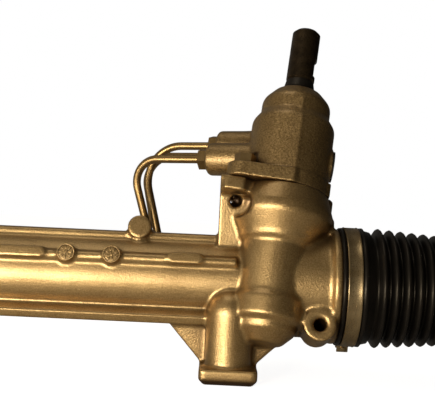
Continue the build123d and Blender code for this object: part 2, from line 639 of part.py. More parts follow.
def pinion_shaft():
    """The pinion: thread, journals, helical gear and the head that the sleeve is pinned to."""
    twist = degrees(tan(radians(HELIX)) / PITCH_R * 2 * GEAR_HALF)
    section = Pos(0, 0, -GEAR_HALF) * Rot(0, 0, -twist / 2) * pinion_section()
    gear = Solid.extrude_linear_with_rotation(
        section.face(), (0, 0, -GEAR_HALF), (0, 0, 2 * GEAR_HALF), twist)
    low = turned((0, PINION_END), (LOW_BEARING_BORE_R - 1, PINION_END), (LOW_BEARING_BORE_R, PINION_END + 1),
                 (LOW_BEARING_BORE_R, LOW_BEARING_TOP), (PINION_ROOT_R, LOW_BEARING_TOP),
                 (PINION_ROOT_R, -GEAR_HALF), (0, -GEAR_HALF))
    high = turned((0, GEAR_HALF), (9, GEAR_HALF), (9, HIGH_BEARING_BOTTOM - 3), (12, HIGH_BEARING_BOTTOM - 3),
                  (12, HIGH_BEARING_BOTTOM), (HIGH_BEARING_BORE_R, HIGH_BEARING_BOTTOM),
                  (HIGH_BEARING_BORE_R, HIGH_BEARING_TOP), (PINION_HEAD_R, HIGH_BEARING_TOP),
                  (PINION_HEAD_R, PINION_HEAD_TOP), (0, PINION_HEAD_TOP))
    shaft = low + Part(gear.wrapped) + high
    shaft = shaft - rod(TORSION_HEAD_R, TORSION_BOTTOM, PINION_HEAD_TOP + 1)
    return place(PINION, shaft)


def rack_ratio():
    """Rack travel for one radian of pinion turn."""
    return PITCH_R * cos(radians(HELIX)) / cos(radians(HELIX - LEAN_SIDE))


def rack_bar():
    """The round rack with helical teeth cut into its front."""
    left = HOUSING_LEFT - SOCKET_GAP
    right = HOUSING_RIGHT + SOCKET_GAP
    bar = place(rack_frame(left), rod(RACK_R, 0, right - left))
    helix = radians(HELIX)
    across = FRONT.cross(PINION_AXIS)
    groove_dir = PINION_AXIS * cos(helix) + across * sin(helix)
    normal = groove_dir.cross(FRONT)
    if normal.X < 0:
        normal = normal * -1
    slant = radians(HELIX - LEAN_SIDE)
    pitch_n = 2 * pi * PITCH_R / TEETH * cos(helix)
    step = pitch_n / cos(slant)
    gap = (PINION_TOOTH + BACKLASH) * cos(helix)
    flank = tan(radians(PRESSURE_ANGLE)) * cos(helix)
    pitch_plane = AXIS_GAP - PITCH_R
    tip = pitch_plane + RACK_ADDENDUM
    root = pitch_plane - RACK_DEDENDUM
    count = int((RACK_TRAVEL + 12) / step)
    top = RACK_R + 1
    half_top = gap / 2 + flank * (top - pitch_plane)
    half_root = gap / 2 - flank * (pitch_plane - root)
    groove_face = make_face(Polyline((-half_top, top), (-half_root, root), (half_root, root),
                                     (half_top, top), close=True))
    flat_half = (count + 0.5) * step
    face_cut = Box(2 * flat_half, 30, 10, align=(Align.CENTER, Align.CENTER, Align.MIN))
    cutters = place(Plane(origin=CROSSING + FRONT * tip, x_dir=(1, 0, 0), z_dir=FRONT), face_cut)
    bar = bar - cutters
    for k in range(-count, count + 1):
        origin = CROSSING + Vector(k * step, 0, 0)
        frame = Plane(origin=origin, x_dir=normal, z_dir=normal.cross(FRONT))
        bar = bar - place(frame, extrude(groove_face, 16, both=True))
    for end, outward in ((left, 1), (right, -1)):
        bar = bar - place(rack_frame(end, outward), rod(SOCKET_STUD_R, -1, SOCKET_STUD + 1))
    groove = PISTON_WIDTH / 2
    for x in (PISTON_X - groove - RETAINER_WIDTH, PISTON_X + groove):
        bar = bar - place(rack_frame(x), ring(RACK_R + 1, RACK_R - 1, 0, RETAINER_WIDTH))
    return bar


# ---- Hydraulic cylinder ----
def piston():
    """The piston on the rack, with a groove for its ring."""
    half = PISTON_WIDTH / 2
    seal = PISTON_SEAL_WIDTH / 2
    outer = CYLINDER_R - 2 * RUNNING
    return place(rack_frame(PISTON_X), turned(
        (RACK_R, -half), (outer, -half), (outer, -seal), (outer - 2.5, -seal), (outer - 2.5, seal),
        (outer, seal), (outer, half), (RACK_R, half)))


def piston_ring():
    """The plastic ring that seals the piston in the cylinder."""
    half = PISTON_SEAL_WIDTH / 2
    return place(rack_frame(PISTON_X),
                 ring(CYLINDER_R - RUNNING, CYLINDER_R - 2 * RUNNING - 2.5, -half, half))


def piston_retaining_rings():
    """Two wire rings in the rack's grooves that hold the piston."""
    half = PISTON_WIDTH / 2
    rings = []
    for x in (PISTON_X - half - RETAINER_WIDTH, PISTON_X + half):
        rings.append(place(rack_frame(x), ring(RACK_R + 1.5, RACK_R - 1, 0, RETAINER_WIDTH)))
    return Compound(children=rings)


def lip_seal(outer, shaft, width):
    """A shaft seal: a cupped ring, open to the oil side."""
    inner = shaft + SEAL_FIT
    return turned((inner, 0), (outer, 0), (outer, width), (outer - 1.2, width), (outer - 1.2, 2.5),
                  (inner + 1.4, 2.5), (inner + 1.4, width - 1), (inner, width - 1))


def inner_cylinder_seal():
    """The seal that closes the cylinder towards the pinion."""
    return place(rack_frame(INNER_SEAL_X + INNER_SEAL_WIDTH, -1), lip_seal(INNER_SEAL_R, RACK_R, INNER_SEAL_WIDTH))


def cylinder_end_bush():
    """The bush that closes the left end of the cylinder and guides the rack."""
    deep = END_BUSH_LENGTH
    return place(rack_frame(HOUSING_LEFT + RETAINER_WIDTH), turned(
        (RACK_R + RUNNING, 0), (CYLINDER_R, 0), (CYLINDER_R, 9), (CYLINDER_R - 2, 9), (CYLINDER_R - 2, 12),
        (CYLINDER_R, 12), (CYLINDER_R, deep), (END_SEAL_R, deep), (END_SEAL_R, deep - END_SEAL_WIDTH),
        (RACK_R + RUNNING, deep - END_SEAL_WIDTH)))


def end_bush_seal():
    """The rod seal in the end bush, with its lip to the oil."""
    x = HOUSING_LEFT + RETAINER_WIDTH + END_BUSH_LENGTH - END_SEAL_WIDTH
    return place(rack_frame(x), lip_seal(END_SEAL_R, RACK_R, END_SEAL_WIDTH))


def end_bush_o_ring():
    """The ring in the end bush's outer groove."""
    return place(rack_frame(HOUSING_LEFT + RETAINER_WIDTH), ring(CYLINDER_R, CYLINDER_R - 2, 9, 12))


def rack_support_bush():
    """The plastic bush that guides the rack at the right end."""
    return place(rack_frame(SUPPORT_X), ring(SUPPORT_R, RACK_R + RUNNING, 0, SUPPORT_WIDTH))


# ---- Yoke ----
def saddle(radius):
    """A bar along the rack, in the yoke's own frame."""
    return Rot(0, 90, 0) * Cylinder(radius, 60)


def yoke():
    """The plunger that presses the rack into mesh, with its saddle and spring pocket."""
    body = rod(YOKE_R, 3, YOKE_END) - saddle(RACK_R + RUNNING + YOKE_LINER)
    body = body - rod(SPRING_POCKET_R, YOKE_END - SPRING_POCKET, YOKE_END + 1)
    return place(YOKE_FRAME, body)


def yoke_liner():
    """The thin low-friction sheet between rack and yoke."""
    shell = saddle(RACK_R + RUNNING + YOKE_LINER) - saddle(RACK_R + RUNNING)
    return place(YOKE_FRAME, shell & Pos(0, 0, 15) * Box(24, 2 * LINER_HALF, 20))


def yoke_spring():
    """The coil spring behind the yoke."""
    start = YOKE_END - SPRING_POCKET + SPRING_WIRE_R
    length = SPRING_POCKET + PLUG_GAP - 2 * SPRING_WIRE_R
    radius = SPRING_POCKET_R - SPRING_WIRE_R - 0.4
    path = Pos(0, 0, start) * Helix(length / SPRING_TURNS, length, radius)
    section = Plane(origin=path @ 0, z_dir=path % 0) * Circle(SPRING_WIRE_R)
    return place(YOKE_FRAME, sweep(section, path, is_frenet=True))


def yoke_plug():
    """The adjuster plug that carries the spring, with a hexagon socket."""
    start = YOKE_END + PLUG_GAP
    plug = rod(YOKE_R, start, start + PLUG_LENGTH)
    return place(YOKE_FRAME, plug - hex_bar(8, start + PLUG_LENGTH - 8, start + PLUG_LENGTH + 1))


def yoke_lock_nut():
    """The nut that locks the adjuster plug."""
    nut = hex_bar(LOCK_NUT_R * 1.1, YOKE_BOSS_END, YOKE_BOSS_END + LOCK_NUT_THICK) & rod(
        LOCK_NUT_R, YOKE_BOSS_END, YOKE_BOSS_END + LOCK_NUT_THICK)
    return place(YOKE_FRAME, nut - rod(YOKE_R, 0, YOKE_BOSS_END + 10))


# ---- Valve and input shaft ----
def valve_sleeve():
    """The valve sleeve, pinned to the pinion's head, with grooves for its four rings."""
    outline = [(PINION_HEAD_R, SLEEVE_BOTTOM), (SLEEVE_R, SLEEVE_BOTTOM + 3)]
    for k in range(4):
        height = SLEEVE_BOTTOM + 10 + k * SLEEVE_RING_GAP
        outline += [(SLEEVE_R, height), (SLEEVE_R - 1.5, height), (SLEEVE_R - 1.5, height + 2),
                    (SLEEVE_R, height + 2)]
    outline += [(SLEEVE_R, SLEEVE_TOP), (SLEEVE_BORE_R, SLEEVE_TOP), (SLEEVE_BORE_R, PINION_HEAD_TOP),
                (PINION_HEAD_R, PINION_HEAD_TOP)]
    return place(PINION, turned(*outline))


def sleeve_rings():
    """The four plastic rings that part the valve's oil channels."""
    rings = []
    for k in range(4):
        height = SLEEVE_BOTTOM + 10 + k * SLEEVE_RING_GAP
        rings.append(place(PINION, ring(SLEEVE_R + 0.05, SLEEVE_R - 1.5, height, height + 2)))
    return Compound(children=rings)


def input_shaft():
    """The input shaft: valve spool, journal and splined end with a flat."""
    spool_r = SLEEVE_BORE_R - RUNNING
    body = turned((0, SPOOL_BOTTOM), (spool_r, SPOOL_BOTTOM), (spool_r, VALVE_BORE_TOP), (JOURNAL_R, VALVE_BORE_TOP),
                  (JOURNAL_R, SPLINE_START), (SPLINE_R, SPLINE_START + 1), (SPLINE_R, SHAFT_TOP - 2),
                  (SPLINE_R - 2, SHAFT_TOP), (0, SHAFT_TOP))
    for k in range(6):
        slot = Rot(0, 0, 60 * k) * Pos(spool_r, 0, SPOOL_BOTTOM + 22) * Box(2.4, 3.2, 28)
        body = body - slot
    flat = Pos(SHAFT_FLAT, 0, SPLINE_START + 4) * Box(
        10, 30, SHAFT_FLAT_LENGTH, align=(Align.MIN, Align.CENTER, Align.MIN))
    body = body - flat
    body = body - rod(TORSION_BORE_R, SPOOL_BOTTOM - 1, TORSION_TOP - 10)
    body = body - rod(TORSION_HEAD_R, TORSION_TOP - 11, TORSION_TOP)
    body = body - Pos(0, 0, TORSION_TOP - 6) * Rot(0, 90, 0) * Cylinder(CROSS_PIN_R, 60)
    return place(PINION, body)


def torsion_bar():
    """The spring bar between pinion and input shaft."""
    low = TORSION_BOTTOM
    bar = turned((0, low), (TORSION_HEAD_R, low), (TORSION_HEAD_R, low + 14), (TORSION_BAR_R, low + 18),
                 (TORSION_BAR_R, TORSION_TOP - 13), (TORSION_HEAD_R - RUNNING, TORSION_TOP - 10),
                 (TORSION_HEAD_R - RUNNING, TORSION_TOP - RUNNING), (0, TORSION_TOP - RUNNING))
    hole = Pos(0, 0, TORSION_TOP - 6) * Rot(0, 90, 0) * Cylinder(CROSS_PIN_R + 0.7, 60)
    return place(PINION, bar - hole)


def cross_pin():
    """The pin through the top of the input shaft and the torsion bar."""
    pin = Rot(0, 90, 0) * Cylinder(CROSS_PIN_R, 2 * SPLINE_R - 1.5)
    return place(PINION, Pos(0, 0, TORSION_TOP - 6) * pin)


def dust_seal():
    """The rubber collar at the foot of the input shaft's splines."""
    inner = JOURNAL_R + SEAL_FIT
    return place(PINION, turned(
        (inner, VALVE_TOP), (DUST_SEAL_R, VALVE_TOP), (DUST_SEAL_R, VALVE_TOP + 2), (DUST_SEAL_R - 1.3, DUST_SEAL_TOP),
        (inner, DUST_SEAL_TOP)))


# ---- Tie rods, in a frame whose z points outward from the ball ----
def ball_frame(outward):
    """The frame at the centre of the right (1) or left (-1) ball."""
    end = HOUSING_RIGHT if outward > 0 else HOUSING_LEFT
    return rack_frame(end + outward * (SOCKET_GAP + WASHER_THICK + SOCKET_BACK), outward)


def cone_mouth(angle, reach):
    """The cone that a cup's mouth leaves open."""
    return Cone(0, reach * tan(radians(angle)), reach, align=(Align.CENTER, Align.CENTER, Align.MIN))


def inner_socket(outward):
    """The ball socket that screws into the rack's end."""
    back = -SOCKET_BACK
    body = turned((0, back - WASHER_THICK - SOCKET_STUD), (SOCKET_STUD_R, back - WASHER_THICK - SOCKET_STUD),
                  (SOCKET_STUD_R, back), (SOCKET_R - 3, back), (SOCKET_R, back + 4), (SOCKET_R, SOCKET_FRONT - 3),
                  (SOCKET_R - 1.5, SOCKET_FRONT), (0, SOCKET_FRONT))
    body = body - Sphere(CUP_R + RUNNING) - cone_mouth(CUP_OPENING, 30)
    flats = Pos(0, 0, back + 2) * Box(80, 80, 9, align=(Align.CENTER, Align.CENTER, Align.MIN))
    flats = flats - Pos(0, 0, back) * Box(36, 80, 30, align=(Align.CENTER, Align.CENTER, Align.MIN))
    return place(ball_frame(outward), body - flats)


def lock_washer(outward):
    """The tabbed washer that locks the ball socket to the rack."""
    back = -SOCKET_BACK
    body = ring(WASHER_R, SOCKET_STUD_R, back - WASHER_THICK, back)
    return place(ball_frame(outward), body)


def ball_cup(outward):
    """The plastic cup round the ball."""
    body = Sphere(CUP_R) - Sphere(BALL_R + RUNNING) - cone_mouth(CUP_OPENING, 30)
    return place(ball_frame(outward), body)


def tie_rod(outward):
    """The ball, neck and rod with the thread for the outer joint."""
    thread = ROD_LENGTH - ROD_THREAD
    shank = thread - ROD_RUN_OUT
    bar = turned((0, 0), (6.5, 0), (6.5, 20), (ROD_R, 30), (ROD_R, shank - 1), (ROD_RUN_OUT_R, shank),
                 (ROD_RUN_OUT_R, thread), (ROD_THREAD_R, thread + 0.3), (ROD_THREAD_R, ROD_LENGTH - 1), (ROD_THREAD_R - 1, ROD_LENGTH), (0, ROD_LENGTH))
    flats = Pos(0, 0, shank - 24) * Box(30, 30, 14, align=(Align.CENTER, Align.CENTER, Align.MIN))
    flats = flats - Pos(0, 0, shank - 25) * Box(30, 12.8, 16, align=(Align.CENTER, Align.CENTER, Align.MIN))
    return place(ball_frame(outward), Sphere(BALL_R) + bar - flats)


def jam_nut(outward):
    """The nut that locks the outer joint on the rod."""
    outer = ROD_LENGTH - ROD_THREAD - 0.5
    nut = hex_bar(12.4, outer - NUT_THICK, outer)
    return place(ball_frame(outward), nut - rod(ROD_RUN_OUT_R + RUNNING, 0, ROD_LENGTH))


# ---- Bellows and clamps ----
def end_frame(outward):
    """The frame at the housing's right (1) or left (-1) end face."""
    return rack_frame(HOUSING_RIGHT if outward > 0 else HOUSING_LEFT, outward)


def bellows(outward):
    """The rubber bellows, as the sleeve that its folds fill."""
    wall = BELLOWS_WALL
    start = BELLOWS_START
    inner = BELLOWS_SEAT_R + 0.05
    end = FOLDS_END + SMALL_CUFF
    return place(end_frame(outward), turned(
        (inner, start), (CUFF_R, start), (CUFF_R, 2), (FOLD_R, 4), (FOLD_R, CUFF_LENGTH), (FOLD_R - 3, 50),
        (FOLD_END_R, FOLDS_END - 12), (SMALL_CUFF_R, FOLDS_END), (SMALL_CUFF_R, end), (ROD_R + 0.05, end),
        (ROD_R + 0.05, FOLDS_END), (FOLD_END_R - wall, FOLDS_END - 14), (FOLD_R - 3 - wall, 50),
        (FOLD_R - wall, CUFF_LENGTH), (FOLD_R - wall, 6), (inner, 1)))


def large_clamp(outward):
    """The band clamp round the bellows' large cuff, with its tightening ear."""
    middle = CLAMP_START + CLAMP_WIDTH / 2
    outer = CUFF_R + CLAMP_THICK
    band = ring(outer, CUFF_R, CLAMP_START, CLAMP_START + CLAMP_WIDTH)
    turn = -72 if outward > 0 else 72
    ear = Pos(outer + 3, 0, middle) * Box(8, 9, CLAMP_WIDTH - 1.5)
    screw = Pos(outer + 3.5, 0, middle) * Rot(90, 0, 0) * Cylinder(CLAMP_SCREW_R, 14)
    ear = (ear + screw) - rod(CUFF_R, CLAMP_START - 1, CLAMP_START + CLAMP_WIDTH + 1)
    return place(end_frame(outward), band + Rot(0, 0, turn) * ear)


def small_clamp(outward):
    """The wire clamp round the bellows' small cuff."""
    middle = FOLDS_END + SMALL_CUFF / 2
    inner = SMALL_CUFF_R
    outer = inner + SMALL_CLAMP_THICK
    low = middle - SMALL_CLAMP_WIDTH / 2
    return place(end_frame(outward), ring(outer, inner, low, low + SMALL_CLAMP_WIDTH))


# ---- Pipes ----
def port_point(port, distance):
    """A point on a port's axis, at a distance from the pinion axis, in the part's frame."""
    frame = port_frame(port)
    local = frame.origin + frame.z_dir * distance
    return PINION.from_local_coords(local)


def pipe(points, first_bend=PIPE_BEND):
    """A steel pipe bent round its corners."""
    bends = [first_bend] + [PIPE_BEND] * (len(points) - 3)
    path = FilletPolyline(*points, radius=bends)
    section = Plane(origin=path @ 0, z_dir=path % 0) * Circle(PIPE_R)
    return sweep(section, path)


def pipe_routes():
    """The corner points of the three pipes, from the valve housing to their far ends."""
    run_back = RACK_BACK + PIPE_BACK
    port_back = RACK_BACK + CYLINDER_PORT_OUT
    inner_z = RACK_HEIGHT + INNER_PORT_UP
    outer_z = RACK_HEIGHT + OUTER_PORT_UP
    short = [port_point(FRONT_PORT, FRONT_PORT[2]), port_point(FRONT_PORT, PIPE_TURNS[0]), (PIPE_DROPS[0], run_back, inner_z),
             (INNER_PORT_X, run_back, inner_z), (INNER_PORT_X, port_back, inner_z)]
    long = [port_point(UPPER_PORT, UPPER_PORT[2]), port_point(UPPER_PORT, PIPE_TURNS[1]), (PIPE_DROPS[1], run_back, outer_z),
            (OUTER_PORT_X, run_back, outer_z), (OUTER_PORT_X, port_back, outer_z)]
    drain = [port_point(REAR_PORT, REAR_PORT[2]), port_point(REAR_PORT, PIPE_TURNS[2]),
             (PIPE_DROPS[2], run_back + RETURN_BACK, RETURN_Z), (RETURN_END, run_back + RETURN_BACK, RETURN_Z)]
    return short, long, drain


def pipe_nuts():
    """The union nuts at both ends of the pipes."""
    nuts = []
    for port in (FRONT_PORT, UPPER_PORT, REAR_PORT):
        nut = hex_bar(NUT_R, port[2], port[2] + NUT_LENGTH) - rod(PIPE_R, 0, 100)
        nuts.append(place(PINION, place(port_frame(port), nut)))
    for x, up in ((INNER_PORT_X, INNER_PORT_UP), (OUTER_PORT_X, OUTER_PORT_UP)):
        frame = Plane(origin=(x, RACK_BACK, RACK_HEIGHT + up), x_dir=(1, 0, 0), z_dir=(0, 1, 0))
        nut = hex_bar(NUT_R, CYLINDER_PORT_OUT, CYLINDER_PORT_OUT + NUT_LENGTH) - rod(PIPE_R, 0, 100)
        nuts.append(place(frame, nut))
    return Compound(children=nuts)


def write_all():
    """Build and write every piece."""
    write("rack_housing", rack_housing())
    write("valve_housing", valve_housing())
    write("valve_housing_bolts", valve_housing_bolts())
    write("supply_port_plug", port_plug())
    write("pinion_lower_bearing", place(PINION, ball_bearing(
        LOW_BEARING_R, LOW_BEARING_BORE_R, LOW_BEARING_BOTTOM, LOW_BEARING_TOP)))
    write("pinion_upper_bearing", place(PINION, ball_bearing(
        HIGH_BEARING_R, HIGH_BEARING_BORE_R, HIGH_BEARING_BOTTOM, HIGH_BEARING_TOP)))
    write("input_shaft_bearing", place(PINION, ring(
        SHAFT_BEARING_R, JOURNAL_R + RUNNING, SHAFT_BEARING_BOTTOM, SHAFT_BEARING_TOP)))
    seal = Pos(0, 0, SHAFT_SEAL_BOTTOM) * lip_seal(SHAFT_SEAL_R, JOURNAL_R, VALVE_TOP - 3 - SHAFT_SEAL_BOTTOM)
    write("input_shaft_seal", place(PINION, seal))
    write("dust_seal", dust_seal())
    write("pinion_shaft", pinion_shaft())
    write("valve_sleeve", valve_sleeve())
    write("sleeve_rings", sleeve_rings())
    write("torsion_bar", torsion_bar())
    write("input_shaft", input_shaft())
    write("cross_pin", cross_pin())
    write("rack_bar", rack_bar())
    write("piston", piston())
    write("piston_ring", piston_ring())
    write("piston_retaining_rings", piston_retaining_rings())
    write("inner_cylinder_seal", inner_cylinder_seal())
    write("cylinder_end_bush", cylinder_end_bush())
    write("end_bush_seal", end_bush_seal())
    write("end_bush_o_ring", end_bush_o_ring())
    write("end_retaining_ring", place(rack_frame(HOUSING_LEFT), ring(CYLINDER_R, CYLINDER_R - 3, 0, RETAINER_WIDTH)))
    write("rack_support_bush", rack_support_bush())
    write("yoke", yoke())
    write("yoke_liner", yoke_liner())
    write("yoke_spring", yoke_spring())
    write("yoke_adjuster_plug", yoke_plug())
    write("yoke_lock_nut", yoke_lock_nut())
    short, long, drain = pipe_routes()
    write("short_cylinder_pipe", pipe(short))
    write("long_cylinder_pipe", pipe(long, UPPER_PIPE_BEND))
    write("return_pipe", pipe(drain))
    write("pipe_nuts", pipe_nuts())
    for name, outward in (("right", 1), ("left", -1)):
        write(f"ball_socket_{name}", inner_socket(outward))
        write(f"lock_washer_{name}", lock_washer(outward))
        write(f"ball_cup_{name}", ball_cup(outward))
        write(f"tie_rod_{name}", tie_rod(outward))
        write(f"jam_nut_{name}", jam_nut(outward))
        write(f"bellows_{name}", bellows(outward))
        write(f"large_clamp_{name}", large_clamp(outward))
        write(f"small_clamp_{name}", small_clamp(outward))


write_all()
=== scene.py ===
# %% [markdown]
# A power steering rack, dressed. The imported construction model is loaded first and stays as it is:
# every node keeps its place, and the castings, clamps and date discs below ride on the housing body.
# Metres throughout, +X along the rack, +Y to the back, +Z up.

# %% Load the frame
import json
from math import cos, radians, sin, tau

import bmesh
import bpy
from mathutils import Matrix, Vector


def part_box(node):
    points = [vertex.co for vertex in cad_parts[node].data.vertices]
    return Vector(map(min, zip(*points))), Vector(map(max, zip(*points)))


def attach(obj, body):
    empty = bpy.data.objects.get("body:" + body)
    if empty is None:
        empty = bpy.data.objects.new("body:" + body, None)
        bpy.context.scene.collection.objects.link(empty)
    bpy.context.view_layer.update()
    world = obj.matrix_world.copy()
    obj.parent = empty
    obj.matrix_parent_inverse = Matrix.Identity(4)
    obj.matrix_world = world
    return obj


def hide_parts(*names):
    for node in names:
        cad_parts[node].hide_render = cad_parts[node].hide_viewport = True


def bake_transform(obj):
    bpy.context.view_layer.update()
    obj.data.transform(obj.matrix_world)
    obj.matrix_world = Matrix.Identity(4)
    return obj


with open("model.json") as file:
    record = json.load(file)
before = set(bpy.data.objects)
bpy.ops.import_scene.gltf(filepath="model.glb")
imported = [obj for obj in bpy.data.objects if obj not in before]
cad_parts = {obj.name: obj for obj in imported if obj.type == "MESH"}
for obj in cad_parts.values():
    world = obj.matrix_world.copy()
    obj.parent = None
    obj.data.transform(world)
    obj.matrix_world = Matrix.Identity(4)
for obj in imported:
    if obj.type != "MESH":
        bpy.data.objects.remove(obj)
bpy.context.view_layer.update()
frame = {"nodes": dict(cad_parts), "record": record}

# %% [markdown]
# The rack's axis and the pinion's axis are the two lines that everything is built round. The pinion
# leans 18 degrees to the back and 6.4 degrees to the right. `front` is square to both of them.

# %% Lines of the steering gear
MM = 0.001
AXIS_Y, AXIS_Z = 25 * MM, 65 * MM
housing_low, housing_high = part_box("rack_housing")
HOUSING_END = {"right": housing_high[0], "left": housing_low[0]}
OUTWARD = {"right": 1, "left": -1}
lean, side = radians(18.0), radians(6.4)
front = Vector((0, -cos(lean), sin(lean)))
pinion_axis = Vector((sin(side), cos(side) * sin(lean), cos(side) * cos(lean)))
pinion_side = pinion_axis.cross(front)
pinion_centre = Vector((27.7 * MM, AXIS_Y, AXIS_Z)) + front * 17.5 * MM
PINION = Matrix((pinion_side, -front, pinion_axis)).transposed().to_4x4()
PINION.translation = pinion_centre
print("pinion axis", [round(v, 3) for v in pinion_axis])

# %% [markdown]
# A finish is a set of shader nodes. Real finishes are never one flat colour, so each one mixes two
# or three noises: a wide one for uneven tone, a fine one for grain, and a bump from the same grain.
# One small helper builds that common part, and each finish sets its own numbers on the shader.

# %% A helper for finishes
def finish(name, dark, pale, metallic, roughness, tone_size, grain_size, bump,
           rough_spread=0.1, speckle=0.25):
    """A material whose tone drifts over tone_size and whose grain has grain_size, both in metres."""
    material = bpy.data.materials.new(name)
    material.use_nodes = True
    nodes, links = material.node_tree.nodes, material.node_tree.links
    shader = nodes["Principled BSDF"]
    shader.inputs["Metallic"].default_value = metallic
    place = nodes.new("ShaderNodeTexCoord")
    tone = nodes.new("ShaderNodeTexNoise")
    tone.inputs["Scale"].default_value = 1 / tone_size
    tone.inputs["Detail"].default_value = 3
    grain = nodes.new("ShaderNodeTexNoise")
    grain.inputs["Scale"].default_value = 1 / grain_size
    grain.inputs["Detail"].default_value = 2
    links.new(place.outputs["Object"], tone.inputs["Vector"])
    links.new(place.outputs["Object"], grain.inputs["Vector"])
    colours = nodes.new("ShaderNodeValToRGB")
    colours.color_ramp.elements[0].position = 0.3
    colours.color_ramp.elements[0].color = (*dark, 1)
    colours.color_ramp.elements[1].position = 0.7
    colours.color_ramp.elements[1].color = (*pale, 1)
    shade = nodes.new("ShaderNodeMix")
    shade.inputs["Factor"].default_value = speckle
    links.new(tone.outputs["Fac"], shade.inputs["A"])
    links.new(grain.outputs["Fac"], shade.inputs["B"])
    links.new(shade.outputs["Result"], colours.inputs["Fac"])
    links.new(colours.outputs["Color"], shader.inputs["Base Color"])
    spread = nodes.new("ShaderNodeMapRange")
    spread.inputs["To Min"].default_value = roughness - rough_spread
    spread.inputs["To Max"].default_value = roughness + rough_spread
    links.new(grain.outputs["Fac"], spread.inputs["Value"])
    links.new(spread.outputs["Result"], shader.inputs["Roughness"])
    relief = nodes.new("ShaderNodeBump")
    relief.inputs["Strength"].default_value = bump
    relief.inputs["Distance"].default_value = grain_size / 4
    links.new(grain.outputs["Fac"], relief.inputs["Height"])
    links.new(relief.outputs["Normal"], shader.inputs["Normal"])
    return material


# %% [markdown]
# The castings carry a warm gold-bronze coat over sand-cast skin. An Ambient Occlusion node, which reads
# how closed-in a point is, mixes a dark brown into the tone: this is painted shade in the hollows.
# The fine grain is about a millimetre across. The valve housing comes from a mould of its own, and its
# skin is coarser; its darker tone is painted shade, for a housing that leans back from the light.

# %% Finish of the castings
def add_painted_hollow_shade(material, colour, reach):
    """Mix a colour into the hollows as painted shade, where surfaces within reach crowd round a point."""
    nodes, links = material.node_tree.nodes, material.node_tree.links
    shader = nodes["Principled BSDF"]
    source = shader.inputs["Base Color"].links[0].from_socket
    hollow_shade_ao = nodes.new("ShaderNodeAmbientOcclusion")
    hollow_shade_ao.samples = 8
    hollow_shade_ao.inputs["Distance"].default_value = reach
    ramp = nodes.new("ShaderNodeMapRange")
    ramp.inputs["From Min"].default_value = 0.35
    ramp.inputs["From Max"].default_value = 0.9
    mix = nodes.new("ShaderNodeMix")
    mix.data_type = "RGBA"
    mix.inputs["A"].default_value = (*colour, 1)
    links.new(hollow_shade_ao.outputs["AO"], ramp.inputs["Value"])
    links.new(ramp.outputs["Result"], mix.inputs["Factor"])
    links.new(source, mix.inputs["B"])
    links.new(mix.outputs["Result"], shader.inputs["Base Color"])


cast_bronze = finish("cast_bronze", (0.24, 0.140, 0.046), (0.50, 0.325, 0.130), 0.85, 0.36,
                     0.030, 0.0009, 0.9, 0.09, 0.6)
# Painted shade: the valve housing's bronze is a darker copy of the tube's, standing for its leaning back
# from the light; its grain is coarser.
tower_bronze_shaded = finish("tower_bronze_shaded", (0.15, 0.086, 0.027), (0.40, 0.255, 0.098), 0.85, 0.40,
                      0.022, 0.0011, 1.0, 0.10, 0.75)
for cast in (cast_bronze, tower_bronze_shaded):
    # Painted shade: a dark brown mixed into the hollows of both castings.
    add_painted_hollow_shade(cast, (0.07, 0.034, 0.010), 0.014)
    cast_shader = cast.node_tree.nodes["Principled BSDF"]
    cast_shader.inputs["Coat Weight"].default_value = 0.22
    cast_shader.inputs["Coat Roughness"].default_value = 0.28
    print("finish", cast.name)

# %% [markdown]
# The other finishes: yellow-passivated steel for the pipes and nuts, a blued shaft, moulded rubber,
# dulled spring steel for the clamps, ground steel for the hidden shafts, and two plastics.

# %% The other finishes
finishes = {
    "cast_housing": cast_bronze,
    "coated_steel": finish("warm_steel", (0.25, 0.150, 0.052), (0.42, 0.270, 0.110), 0.95, 0.34,
                           0.018, 0.0006, 0.25),
    "bright_steel": finish("ground_steel", (0.42, 0.41, 0.40), (0.58, 0.57, 0.55), 1.0, 0.30,
                           0.012, 0.0005, 0.12),
    "dark_shaft": finish("blued_shaft", (0.020, 0.013, 0.006), (0.065, 0.042, 0.020), 0.85, 0.30,
                         0.006, 0.0005, 0.15),
    "black_rubber": finish("bellows_rubber", (0.003, 0.0026, 0.0022), (0.010, 0.008, 0.006), 0.0, 0.34,
                           0.020, 0.0007, 0.25),
    "clamp_band": finish("spring_band", (0.22, 0.145, 0.062), (0.42, 0.300, 0.150), 0.9, 0.30,
                         0.010, 0.0005, 0.2),
    "bearing_steel": finish("bearing_steel", (0.50, 0.50, 0.51), (0.62, 0.62, 0.63), 1.0, 0.22,
                            0.010, 0.0004, 0.05),
    "seal_plastic": finish("filled_plastic", (0.08, 0.075, 0.07), (0.13, 0.12, 0.11), 0.0, 0.45,
                           0.008, 0.0005, 0.1),
    "white_plastic": finish("acetal", (0.66, 0.63, 0.55), (0.76, 0.74, 0.68), 0.0, 0.40,
                            0.012, 0.0006, 0.08),
    "black_plastic": finish("moulded_plug", (0.012, 0.011, 0.010), (0.03, 0.027, 0.024), 0.0, 0.38,
                            0.008, 0.0005, 0.15),
}
for rubbery in ("black_rubber", "black_plastic"):
    shader = finishes[rubbery].node_tree.nodes["Principled BSDF"]
    shader.inputs["Specular IOR Level"].default_value = 0.18
    shader.inputs["Specular Tint"].default_value = (1.0, 0.82, 0.58, 1)
# Painted shade: near-black mixed into the bottoms of the bellows' folds.
add_painted_hollow_shade(finishes["black_rubber"], (0.0015, 0.0012, 0.001), 0.010)
node_slot = {part["node"]: part["material_slot"] for part in frame["record"]["subparts"]}
for node, piece in frame["nodes"].items():
    piece.data.materials.clear()
    piece.data.materials.append(finishes[node_slot[node]])
print("finishes", len(finishes), "on", len(frame["nodes"]), "nodes")


# %% [markdown]
# A casting has no sharp corners: metal can't fill one, and sand can't hold one. The construction
# model has plain intersections, so a copy of it is given a skin. The copy's loose triangles are
# merged, a voxel remesh rebuilds it as even small squares, moving that skin out and back fills
# inner corners with fillets, and smoothing rounds the outer ones. Decimate then takes out the
# squares that flat places don't need.

